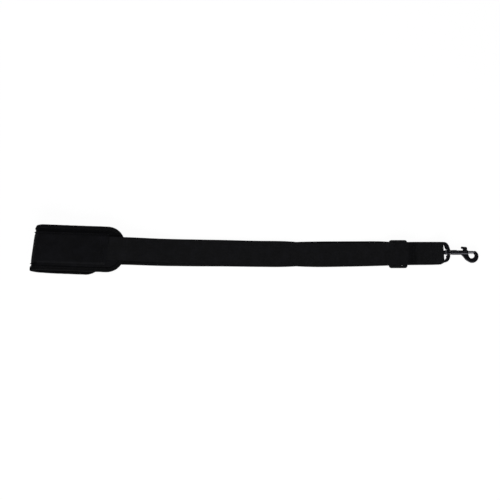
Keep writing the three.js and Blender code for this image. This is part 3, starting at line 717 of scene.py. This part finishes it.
# cloth under pressure, sewn down where pinned is 1, and moved no further than the cap
def swell(piece, pinned):
    start = meshPoints(piece.data)
    group = piece.vertex_groups.new(name="sewnEdge")
    for index in np.flatnonzero(pinned > 0):
        group.add([int(index)], float(pinned[index]), "REPLACE")
    cloth = piece.modifiers.new("cloth", "CLOTH")
    cloth.settings.vertex_group_mass = "sewnEdge"
    for key, value in padCloth["settings"].items():
        setattr(cloth.settings, key, value)
    cloth.settings.effector_weights.gravity = 0
    cloth.collision_settings.use_collision = False
    scene = bpy.context.scene
    for number in range(1, padCloth["frames"] + 1):
        scene.frame_set(number)
    graph = bpy.context.evaluated_depsgraph_get()
    swollen = meshPoints(piece.evaluated_get(graph).to_mesh())
    piece.evaluated_get(graph).to_mesh_clear()
    piece.modifiers.clear()
    scene.frame_set(1)
    move = swollen - start
    size = np.linalg.norm(move, axis=1)
    move *= np.minimum(1, padCloth["cap"] * mm / np.maximum(size, 1e-9))[:, None]
    setPoints(piece.data, start + move)


def makePad():
    piece = padBlank()
    points = meshPoints(piece.data) / mm
    along, across, out = points.T
    inwards, band = edgeDistance(along, across), padCloth["edgeBand"]
    shrink = 1 - (1 - padCloth["startShare"]) * smoothstep(inwards, 7, 14)  # thinner inside, for pressure to fill
    points[:, 2] = np.clip(out / (pad["thick"] / 2), -1, 1) * padHalfThick(along, across) * shrink
    setPoints(piece.data, points * mm)
    swell(piece, 1 - smoothstep(inwards, band - 1, band + 0.5))

    # creases on the free cloth, and a groove along the sleeve's seams
    along, across, out = (meshPoints(piece.data) / mm).T
    inwards, limit, side = edgeDistance(along, across), padHalfThick(along, across), np.where(out > 0, 1, -1)
    sewn = np.exp(-((np.abs(across) - padCloth["seamAcross"]) / padCloth["seamWidth"]) ** 2) * (inwards > 7)
    sewn *= smoothstep(along, sleeveStart - 2, sleeveStart + 2) * (1 - smoothstep(along, sleeveEnd - 2, sleeveEnd + 2))
    wrinkles = ripple(along, across, 9, 13, 1.7) * padCloth["creases"]
    wrinkles += ripple(along, across, 26, 40, 4.4) * padCloth["swells"]
    free = smoothstep(np.abs(across), *padCloth["freeFrom"]) * smoothstep(inwards, 7, 9)
    out = np.clip(out, -limit - 0.15, limit + 0.15)
    out = out + side * wrinkles * np.maximum(free, padCloth["sleeveShare"]) * smoothstep(inwards, 6, 9)
    out = np.where(side > 0, out - padCloth["seamDent"] * sewn, out)
    out = np.clip(out, -limit - padCloth["overfill"], limit + padCloth["overfill"])
    setPoints(piece.data, onStrap(along, across, out - padMiddle) * mm)

    uvs = np.stack([across, along], axis=-1) * mm
    for loop, uv in zip(piece.data.loops, piece.data.uv_layers.new(name="clothUv").data):
        uv.uv = uvs[loop.vertex_index]
    addModifier(piece, "SUBSURF", levels=1, render_levels=1)
    dress(piece, oxfordMaterial, "strap", "pad_fabric", "shoulder_pad")


makePad()
print("shoulder pad done")


# binding: grosgrain tape folded over the pad's edge and gathered round its corners

binding = {"cover": 6.5, "wall": 1.0, "sewnWall": 0.92, "half": 2.7, "nose": 1.3, "tip": 0.1, "rowStep": 1.6,
           "pucker": 0.22, "cornerPleats": 0.22, "sidePleats": 0.05, "waver": 0.2,
           "stitchInset": 4.9, "stitchDent": 0.22, "stitchDentWidth": 0.7}
cornerMiddle = pad["halfWidth"] - pad["cornerRadius"]
quarterTurn = math.pi / 2 * pad["cornerRadius"]
outlineLegs = [quarterTurn, padLength - 2 * pad["cornerRadius"], quarterTurn, 2 * cornerMiddle] * 2
outlineStarts = np.concatenate([[0], np.cumsum(outlineLegs)])
outlineLength = outlineStarts[-1]


# the place and outward direction at a distance round the pad's outline: four corners, each with a straight after it
def onOutline(distance):
    r, c = pad["cornerRadius"], cornerMiddle
    d = np.mod(distance, outlineLength)
    leg = np.clip(np.searchsorted(outlineStarts, d, side="right") - 1, 0, 7)
    past, corner, isStraight = d - outlineStarts[leg], leg // 2, leg % 2 == 1
    angle = math.pi + corner * math.pi / 2 + np.where(isStraight, math.pi / 2, past / r)
    ds, da = np.cos(angle), np.sin(angle)
    run = np.where(isStraight, past, 0)
    s = np.array([padStart + r, padEnd - r, padEnd - r, padStart + r])[corner] + r * ds - run * da
    a = np.array([-c, -c, c, c])[corner] + r * da + run * ds
    return s, a, ds, da


def bindingSurface(distance, inset, out):
    s, a, ds, da = onOutline(distance)
    return onStrap(s - inset * ds, a - inset * da, out - padMiddle)


def makeBinding():
    nose, high = binding["nose"], binding["half"] - binding["wall"] / 2
    reach = [(inset, high) for inset in np.linspace(binding["cover"], nose, 7)[:-1]]
    roundNose = [(nose - (nose - binding["tip"]) * math.sin(t) ** 0.6,
                  math.copysign(high * abs(math.cos(t)) ** 0.6, math.cos(t))) for t in np.linspace(0, math.pi, 11)]
    profile = np.array(reach + roundNose + [(inset, -out) for inset, out in reversed(reach)])
    widths = lengthsAlong(profile)
    rows = np.linspace(0, outlineLength, int(outlineLength / binding["rowStep"]) + 1)

    def place(along, across):
        inset, out = [np.interp(across, widths, profile[:, k]) for k in (0, 1)]
        _, _, ds, da = onOutline(along)
        onCorner = (np.abs(ds) > 0.02) & (np.abs(da) > 0.02)
        turn = along / outlineLength * 2 * math.pi
        pleats = ripple(np.cos(turn) * 100, np.sin(turn) * 100, 3.3, 3.3, 2.0)
        puckers = ripple(np.cos(turn) * 100, np.sin(turn) * 100, 7.0, 7.0, 6.0)
        deep = smoothstep(inset, 1.5, 5.5)
        pleated = np.where(onCorner, binding["cornerPleats"], binding["sidePleats"]) * pleats
        lift = (binding["pucker"] * puckers + pleated) * deep
        stitched = np.exp(-((inset - binding["stitchInset"]) / binding["stitchDentWidth"]) ** 2) * binding["stitchDent"]
        out = out + np.sign(out) * (lift - stitched)
        return bindingSurface(along, inset + binding["waver"] * puckers * (1 - deep), out)

    tape = laidGrid("pad_binding_tape", rows, widths, place)
    thickened(tape, binding["sewnWall"], 0.3)
    dress(tape, tapeMaterial, "strap", "binding_tape", "pad_binding")


makeBinding()
print("binding done")


# sleeve: the cloth panel sewn along both edges of the pad, with the webbing running under it

def sleeveShift(along, across):
    atEnd, atStart = [np.clip(1 - np.abs(along - hem) / sleeve["hemReach"], 0, 1) for hem in (sleeveEnd, sleeveStart)]
    return across * sleeve["hemSlant"] * (atEnd - atStart)


def sleeveInner(along, across):
    low, high = sleeve["tunnelEdges"]
    tunnel = np.where(across > 0, 1 - smoothstep(across, *high), smoothstep(across, *low))
    return -web["thick"] / 2 + tunnel * (web["thick"] + gap)


# the sleeve's thickness over its inner side, with hems, flank seams, stitch dents and slack
def sleeveOuter(along, across):
    fromHem = np.minimum(along - sleeveStart, sleeveEnd - along)
    hem = 1 - smoothstep(fromHem, sleeve["hemWidth"] - 0.5, sleeve["hemWidth"] + 0.3)
    flank = smoothstep(np.abs(across), *sleeve["flankFold"])
    hemWidth, flankWidth = sleeve["hemDentWidth"], sleeve["flankDentWidth"]
    dents = sum(np.exp(-((fromHem - at) / hemWidth) ** 2) for at in sleeve["hemStitches"]) * sleeve["hemDent"]
    dents = dents + np.exp(-((np.abs(across) - sleeve["flankStitch"]) / flankWidth) ** 2) * sleeve["flankDent"]
    upper = 1 - smoothstep(along, foldMiddle - 10, foldMiddle + 10)
    loose = smoothstep(fromHem, *sleeve["slackFromHem"]) * (1 - smoothstep(np.abs(across), *sleeve["slackAcross"]))
    waves = loose * upper * (sleeve["slackRise"] + sleeve["slackWave"] * ripple(along, across, 34, 17, 8.8))
    waves = waves + sleeve["crinkle"] * upper * ripple(along, across, 9, 12, 3.3)
    puffed = sleeve["foldPuff"] * (1 - smoothstep(np.abs(along - foldMiddle), *sleeve["puffReach"]))
    hems = np.maximum(hem, flank) * sleeve["hemWall"] * (0.5 + 0.5 * upper)
    return sleeve["wall"] + hems - dents + np.maximum(waves, -0.05) + puffed


def makeSleeve():
    flank = np.array([sleeve["half"], sleeve["half"] - 0.5, 24.5, 24.0, 23.5, 23.0, 22.5, 21.9])
    across = np.concatenate([-flank, np.linspace(-21, 21, 29), flank[::-1]])
    ring = np.concatenate([across, across[::-1]])
    columns = np.arange(len(ring) + 1)
    rows = stepsAlong(webLine, sleeveStart, sleeveEnd, 2.5, [
        (sleeveStart, sleeveStart + 15, 0.8), (sleeveEnd - 15, sleeveEnd, 0.8)])

    # a column's number says where it is round the sleeve: first over its outside, then back along its inside
    def place(along, column):
        index = np.mod(column.astype(int), len(ring))
        a, base = ring[index], sleeveInner(along, ring[index])
        out = np.where(index < len(across), base + sleeveOuter(along, a), base)
        return onStrap(along + sleeveShift(along, a), a, out)

    def uvOf(along, column):
        return ring[np.mod(column.astype(int), len(ring))], along

    panel = laidGrid("pad_sleeve_cloth", rows, columns, place, uvOf)
    bm = bmesh.new()
    bm.from_mesh(panel.data)
    bmesh.ops.holes_fill(bm, edges=[e for e in bm.edges if e.is_boundary], sides=0)
    bmesh.ops.recalc_face_normals(bm, faces=bm.faces)
    bm.to_mesh(panel.data)
    bm.free()
    dress(panel, oxfordMaterial, "strap", "pad_fabric", "pad_sleeve")


makeSleeve()
print("sleeve done")


# stitches, each a small oval of thread lying along its seam

stitch = {"pitch": 3.2, "length": 2.5, "width": 0.62, "height": 0.42, "proud": 0.08}


# a row of stitches along the points; the second row of points lies above them and says which way is up
def addSeam(bm, points, above):
    lengths = lengthsAlong(points)
    count = max(1, int(lengths[-1] / stitch["pitch"]))
    for i in range(count):
        middle = (i + 0.5) * lengths[-1] / count
        here, near, lifted = [np.array([np.interp(d, lengths, p[:, k]) for k in range(3)])
                              for d, p in ((middle, points), (middle + 0.3, points), (middle, above))]
        ahead = Vector(near - here).normalized()
        up = Vector(lifted - here)
        side = up.cross(ahead).normalized()
        up = ahead.cross(side)
        turn = Matrix((ahead, side, up)).transposed().to_4x4()
        size = Matrix.Diagonal((*[stitch[key] / 2 * mm for key in ("length", "width", "height")], 1))
        bmesh.ops.create_icosphere(bm, subdivisions=1, radius=1.0, matrix=Matrix.Translation(here * mm) @ turn @ size)


def finishSeams(name, bm, slotName):
    dress(meshObject(name, bm), threadMaterial, "strap", slotName)


def makeSeams():
    bm = bmesh.new()
    d = np.linspace(0, outlineLength, 900)
    for side in (1, -1):
        out = side * (binding["half"] - stitch["proud"])
        addSeam(bm, *[bindingSurface(d, binding["stitchInset"], o) for o in (out, out + side * 0.5)])
    finishSeams("binding_stitches", bm, "binding_tape")

    bm = bmesh.new()

    def sleeveSeam(along, across):
        out = sleeveInner(along, across) + sleeveOuter(along, across) + stitch["proud"]
        addSeam(bm, *[onStrap(along + sleeveShift(along, across), across, o) for o in (out, out + 0.5)])

    run, width = np.linspace(sleeveStart + 1, sleeveEnd - 1, 300), np.linspace(-23.4, 23.4, 60)
    for side in (-1, 1):
        sleeveSeam(run, np.full_like(run, side * sleeve["flankStitch"]))
    for at in sleeve["hemStitches"]:
        sleeveSeam(np.full_like(width, sleeveStart + at), width)
        sleeveSeam(np.full_like(width, sleeveEnd - at), width)
    finishSeams("sleeve_stitches", bm, "pad_fabric")

    bm = bmesh.new()
    out = web["thick"] / 2 - boxStitch["dent"] + 0.1
    for start, end in boxStitchLines():
        along, across = np.linspace(start, end, 40).T
        addSeam(bm, *[onStrap(along, across, o, "web") for o in (out, out + 0.5)])
    finishSeams("box_stitches", bm, "webbing")


makeSeams()
print("stitches done")


# slide adjuster: moulded frame with two slots round a middle bar

def roundOver(bm, edges, radius):
    bmesh.ops.bevel(bm, geom=edges, offset=radius, segments=3, profile=0.5, affect="EDGES", material=-1)


def makeSlide():
    halfLength, halfWidth, halfBar, lip = slide["length"] / 2, slide["width"] / 2, slide["bar"] / 2, slide["lip"]
    slotEnd = halfLength - slide["bar"]
    xs = [-halfLength - lip, -slotEnd, -halfBar, halfBar, slotEnd, halfLength + lip]
    ys = [-halfWidth, slide["slotFrom"], slide["slotTo"], halfWidth]
    bm = bmesh.new()
    bmesh.ops.create_grid(bm, x_segments=5, y_segments=3, size=0.5)
    for v in bm.verts:
        i, j = round((v.co.x + 0.5) * 5), round((v.co.y + 0.5) * 3)
        v.co = (xs[i] + (slide["skew"] if i == 5 and j < 2 else 0), ys[j], 0)
    middles = {f: f.calc_center_median() for f in bm.faces}
    slots = [f for f, middle in middles.items() if abs(middle.y) < 1 and halfBar < abs(middle.x) < slotEnd]
    bmesh.ops.delete(bm, geom=slots, context="FACES")
    raiseFaces(bm, bm.faces[:], slide["thick"])

    def isUpright(e):
        return abs(e.verts[0].co.z - e.verts[1].co.z) > 1

    def isSharp(e):
        return len(e.link_faces) == 2 and e.calc_face_angle(0) > 0.9

    roundOver(bm, [e for e in bm.edges if isUpright(e) and abs(e.verts[0].co.x) > halfLength - 0.1
                   and abs(e.verts[0].co.y) > halfWidth - 0.1], slide["cornerRadius"])
    roundOver(bm, [e for e in bm.edges if isUpright(e) and isSharp(e)], slide["slotRadius"])
    roundOver(bm, [e for e in bm.edges if isSharp(e)], slide["rimRadius"])
    toMetres(bm, (slideMiddle.x, slideMiddle.y, slideLow.z))
    dress(meshObject("slide_adjuster_moulded", bm), acetalMaterial, "strap", "slide_plastic", "slide_adjuster")


makeSlide()
print("slide done")


# snap hook, cast in zinc and plated; radii and heights are from its axis, and half is half a thickness

hook = {"neck": 1.8, "barrelStart": 322.4, "barrelEnd": 349.3, "barrelRadius": 3.95, "bore": 2.75, "boreStart": 327.5,
        "collarRadius": 4.0, "grooveRadius": 3.5, "armHalf": 2.7, "armRounding": 2.3, "voxel": 0.28, "smoothing": 3,
        "headRadius": 3.95, "head": [(0, 0), (0.1, 1.8), (0.7, 2.7), (1.8, 3.35), (3.4, 3.75)]}
ring = {"x": 355.6, "y": -6.7, "outer": 10.5, "holeX": 354.5, "holeY": -4.8, "hole": 4.9, "land": 0.6}
bolt = {"start": 338.0, "end": 358.0, "radius": 2.5, "travel": 9.3, "slotClear": 0.45, "voxel": 0.24, "smoothing": 2}
lever = {"left": 340.4, "right": 347.5, "half": 1.3, "height": 9.6, "knobRadius": 2.0, "knobHalf": 2.3, "overhang": 1.2}

# the loop, from its bar along +X: its boss, and its outlines above and below the hook's axis, each as the two ends
# of a straight, two guides and the end of the lobe's curve, then the guide and the end of the bend to the boss
swivel = {"bossStart": 11.8, "bossEnd": 15.8, "bossRadius": 3.7, "bossHole": 2.18, "bossHalf": 3.85, "socket": 4.15,
          "lipRadius": 4.9, "lipReach": 0.9, "half": 1.9, "rounding": 1.3, "voxel": 0.26, "smoothing": 3}
loopOutline = {
    "outerTop": [(-1.9, 17.0), (5.7, 17.0), (10.6, 16.9), (13.5, 13.0), (15.3, 6.0), (15.8, 4.8), (15.8, 4.0)],
    "outerBottom": [(-1.9, 16.6), (5.7, 16.6), (11.0, 16.6), (14.8, 13.4), (16.0, 6.6), (16.1, 5.0), (15.8, 4.0)],
    "innerTop": [(1.9, 12.7), (4.4, 12.7), (5.2, 12.2), (6.0, 9.4), (6.9, 6.6), (7.6, 4.1), (11.8, 3.6)],
    "innerBottom": [(1.9, 12.7), (5.4, 12.7), (6.8, 12.6), (8.9, 9.8), (9.3, 8.2), (7.4, 6.0), (11.8, 3.6)],
}


# a profile of (x, radius) turned round the X axis
def turned(profile, steps=48):
    bm = bmesh.new()
    verts = [bm.verts.new((x, r, 0)) for x, r in profile]
    edges = [bm.edges.new(pair) for pair in zip(verts[:-1], verts[1:])]
    bmesh.ops.spin(bm, geom=verts + edges, cent=(0, 0, 0), axis=(1, 0, 0), angle=2 * math.pi,
                   steps=steps, use_merge=True)
    bmesh.ops.remove_doubles(bm, verts=bm.verts, dist=1e-4)
    bmesh.ops.recalc_face_normals(bm, faces=bm.faces)
    return meshObject("turned", bm)


# flat faces raised to a plate of the given half thickness, its edges rounded over on both sides
def raisePlate(bm, faces, half, rounding=0.0, steps=4):
    straight = half - rounding
    bmesh.ops.translate(bm, verts=bm.verts, vec=(0, 0, -straight))
    raiseFaces(bm, faces, 2 * straight)
    bm.normal_update()
    for side in (1, -1):
        cap = [f for f in bm.faces if f.normal.z * side > 0.9]
        for k in range(steps if rounding else 0):
            a, b = math.pi / 2 * k / steps, math.pi / 2 * (k + 1) / steps
            bmesh.ops.inset_region(bm, faces=cap, thickness=rounding * (math.cos(a) - math.cos(b)),
                                   depth=rounding * (math.sin(b) - math.sin(a)), use_even_offset=True)


def plate(outline, half, rounding=0.0):
    bm = bmesh.new()
    face = bm.faces.new([bm.verts.new((x, y, 0)) for x, y in outline])
    raisePlate(bm, [face], half, rounding)
    return meshObject("plate", bm)


def arc(x, y, radius, start, end, steps):
    angles = [start + (end - start) * k / steps for k in range(steps + 1)]
    return [(x + radius * math.cos(a), y + radius * math.sin(a)) for a in angles]


# the points after the first of the curve from the first to the last point, drawn towards the guides between them
def curve(*guides, steps=6):
    points = []
    for t in [i / steps for i in range(1, steps + 1)]:
        row = guides
        while len(row) > 1:
            row = [(a[0] + (b[0] - a[0]) * t, a[1] + (b[1] - a[1]) * t) for a, b in zip(row[:-1], row[1:])]
        points += row
    return points


def combine(piece, tool, operation):
    addModifier(piece, "BOOLEAN", operation=operation, solver="MANIFOLD", object=tool)
    applyModifiers(piece)
    bpy.data.objects.remove(tool)


# one smooth cast skin over the joined shapes, moved from the hook's axis to its place
def castSkin(piece, name, sizes, x=0):
    addModifier(piece, "REMESH", mode="VOXEL", voxel_size=sizes["voxel"])
    applyModifiers(piece)
    bm = bmesh.new()
    bm.from_mesh(piece.data)
    for _ in range(sizes["smoothing"]):
        bmesh.ops.smooth_vert(bm, verts=bm.verts, factor=0.5, use_axis_x=True, use_axis_y=True, use_axis_z=True)
    toMetres(bm, (x, hookAxis["y"], hookAxis["z"]))
    bm.to_mesh(piece.data)
    bm.free()
    piece.name = piece.data.name = name


def armOutline():
    x, y, outer = ring["x"], ring["y"], ring["outer"]
    outerStart = math.pi * 1.4
    landX = ring["holeX"] + math.sqrt(ring["hole"] ** 2 - ring["land"] ** 2)
    noseX = bolt["end"] + 0.12
    points = [(337, -2.4), (337.8, -4.2)]
    points += curve(points[-1], (341, -7.2), (343.7, -11))
    points += curve(points[-1], (346.4, -14), (x + outer * math.cos(outerStart), y + outer * math.sin(outerStart)))
    points += arc(x, y, outer, outerStart, math.pi * 2.15, 26)[1:]
    points += curve(points[-1], (363, 1.6), (360.4, 2.4))
    points += [(noseX, 2.4), (noseX, -2.9), (landX, ring["holeY"] + ring["land"])]
    landAngle = math.asin(ring["land"] / ring["hole"])
    points += arc(ring["holeX"], ring["holeY"], ring["hole"], -landAngle, -0.6 * math.pi, 14)
    points += curve(points[-1], (351.0, -8.2), (349.3, -2.4), steps=8)
    return points


def makeHookBody():
    headStart = bar["x"] + tabRound + web["thick"] / 2 + 2 * gap
    headEnd = bar["x"] + swivel["bossStart"] - gap
    collar = bar["x"] + swivel["bossEnd"] + gap
    start, end, radius, bore = hook["barrelStart"], hook["barrelEnd"], hook["barrelRadius"], hook["bore"]
    head, rim, groove, neck = hook["headRadius"], hook["collarRadius"], hook["grooveRadius"], hook["neck"]
    stem = turned([(headStart + x, r) for x, r in hook["head"]] + [
        (headEnd - 1.0, head), (headEnd - 0.2, head), (headEnd, head - 0.15), (headEnd, neck),
        (collar, neck), (collar, rim - 0.2), (collar + 0.2, rim), (start - 0.5, rim),
        (start - 0.2, groove), (start + 0.5, groove), (start + 0.8, radius), (end - 1.6, radius),
        (end - 0.6, radius - 0.25), (end, radius - 0.7), (end, bore),
        (hook["boreStart"], bore), (hook["boreStart"], 0)])
    arm = plate(armOutline(), hook["armHalf"], hook["armRounding"])
    hollow = turned([(hook["boreStart"], 0), (hook["boreStart"], bore), (bolt["end"], bore), (bolt["end"], 0)], 32)
    combine(arm, hollow, "DIFFERENCE")
    combine(stem, arm, "UNION")
    slotFrom, slotTo = lever["left"] - bolt["travel"] - bolt["slotClear"], lever["right"] + bolt["slotClear"]
    slot = plate([(slotFrom, 0.2), (slotTo, 0.2), (slotTo, radius + 2), (slotFrom, radius + 2)],
                 lever["half"] + bolt["slotClear"])
    combine(stem, slot, "DIFFERENCE")
    castSkin(stem, "hook_body_cast", hook)
    dress(stem, nickelMaterial, "hook", "dark_nickel", "hook_body")


def makeBolt():
    start, end, radius = bolt["start"], bolt["end"], bolt["radius"]
    rod = turned([(start, 0), (start, radius - 0.4), (start + 0.4, radius),
                  (end - 0.6, radius), (end, radius - 0.5), (end, 0)])
    left, right, height, knob = lever["left"], lever["right"], lever["height"], lever["knobRadius"]
    knobX = left - lever["overhang"]
    outline = [(left, 1), (right, 1), (right, height - 2.4)]
    outline += curve(outline[-1], (right - 0.4, height - 0.9), (right - 2.2, height - 0.6))
    outline += [(knobX, height - 0.2), (knobX, height - 2 * knob + 0.2)]
    outline += curve(outline[-1], (left, height - 2 * knob), (left, 4.1))
    combine(rod, plate(outline, lever["half"]), "UNION")
    combine(rod, plate(arc(knobX, height - knob, knob, 0, 2 * math.pi, 20)[:-1], lever["knobHalf"], 0.5), "UNION")
    castSkin(rod, "hook_bolt_cast", bolt)
    dress(rod, boltMaterial, "bolt", "dark_nickel", "hook_bolt")


def loopSide(name, sign):
    points = loopOutline[name]
    side = points[:2] + curve(*points[1:5], steps=10) + curve(*points[4:])
    return [(x, sign * y) for x, y in side]


def makeLoop():
    bm = bmesh.new()
    rings = []
    for name in ("outer", "inner"):
        outline = loopSide(name + "Bottom", -1) + loopSide(name + "Top", 1)[::-1]
        verts = [bm.verts.new((x, y, 0)) for x, y in outline]
        rings += [bm.edges.new((verts[i - 1], verts[i])) for i in range(len(verts))]
    flat = bmesh.ops.bridge_loops(bm, edges=rings)["faces"]
    raisePlate(bm, flat, swivel["half"], swivel["rounding"])
    body = meshObject("loopFrame", bm)

    # the boss has a lip round the rivet's head, so nothing shows between them, and is cut flat to lie on the floor
    s, e, r, clear, hole = [swivel[key] for key in ("bossStart", "bossEnd", "bossRadius", "socket", "bossHole")]
    lip, reach = swivel["lipRadius"], swivel["lipReach"]
    boss = turned([(s, 0), (s, clear), (s - reach, clear), (s - reach, lip - 0.3), (s - reach + 0.4, lip),
                   (s + 0.3, lip), (s + 1.6, r + 0.2), (e - 0.5, r), (e, r - 0.5), (e, 0)])
    combine(boss, plate([(3, -8), (20, -8), (20, 8), (3, 8)], swivel["bossHalf"]), "INTERSECT")
    combine(body, turned([(3, 0), (3, clear + 0.05), (s, clear + 0.05), (s, 0)], 32), "DIFFERENCE")
    combine(body, boss, "UNION")
    combine(body, turned([(s - 3, 0), (s - 3, hole), (e + 3, hole), (e + 3, 0)], 32), "DIFFERENCE")
    castSkin(body, "swivel_loop_cast", swivel, bar["x"])
    dress(body, nickelMaterial, "loop", "dark_nickel", "swivel_loop")


makeHookBody()
makeBolt()
makeLoop()
print("hook done")
